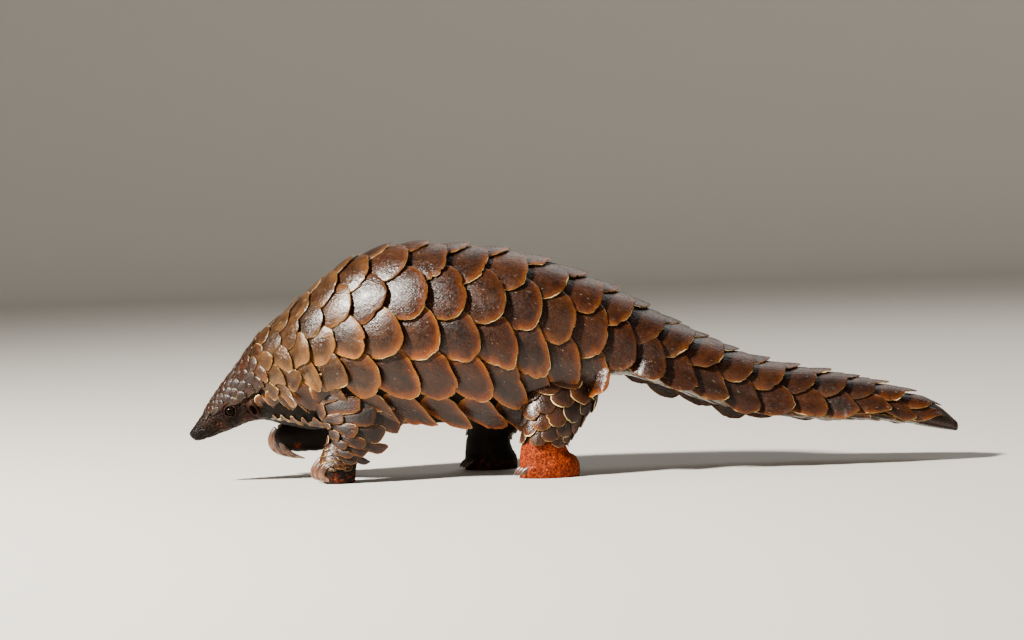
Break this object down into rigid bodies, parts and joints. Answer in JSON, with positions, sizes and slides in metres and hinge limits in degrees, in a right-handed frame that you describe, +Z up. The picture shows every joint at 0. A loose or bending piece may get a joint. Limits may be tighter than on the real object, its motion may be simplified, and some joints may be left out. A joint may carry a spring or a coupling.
{
  "type": "Temminck's ground pangolin",
  "caption": "Life-size walking ground pangolin, head low, back arched, one forefoot lifted and the tail held clear, covered in large overlapping scales.",
  "frame": {"origin": "on the floor under the middle of the whole animal", "axes": "+X from nose to tail, +Y the animal's right, +Z up, soles at z = 0"},
  "size_m": [0.9199, 0.1988, 0.2818],
  "materials": {
    "scale_horn": "hard keratin scales, olive brown with an amber rim, half gloss",
    "dark_skin": "bare wrinkled dark skin",
    "claw_horn": "worn horn, half gloss",
    "eye": "wet black"
  },
  "bodies": {
    "root": {"ear_left": "dark_skin", "ear_right": "dark_skin", "eye_left": "eye", "eye_right": "eye", "foreclaw_left_1": "claw_horn", "foreclaw_left_2": "claw_horn", "foreclaw_left_3": "claw_horn", "foreclaw_right_1": "claw_horn", "foreclaw_right_2": "claw_horn", "foreclaw_right_3": "claw_horn", "forefoot_left": "dark_skin", "forefoot_right": "dark_skin", "foreleg_left": "scale_horn", "foreleg_right": "scale_horn", "head": "dark_skin", "hindfoot_left": "dark_skin", "hindfoot_right": "dark_skin", "hindleg_left": "scale_horn", "hindleg_right": "scale_horn", "hindnail_left_1": "claw_horn", "hindnail_left_2": "claw_horn", "hindnail_left_3": "claw_horn", "hindnail_left_4": "claw_horn", "hindnail_left_5": "claw_horn", "hindnail_right_1": "claw_horn", "hindnail_right_2": "claw_horn", "hindnail_right_3": "claw_horn", "hindnail_right_4": "claw_horn", "hindnail_right_5": "claw_horn", "neck": "scale_horn", "tail_1": "scale_horn", "tail_2": "scale_horn", "tail_3": "scale_horn", "tail_4": "scale_horn", "torso_front": "scale_horn", "torso_rear": "scale_horn"}
  },
  "joints": []
}
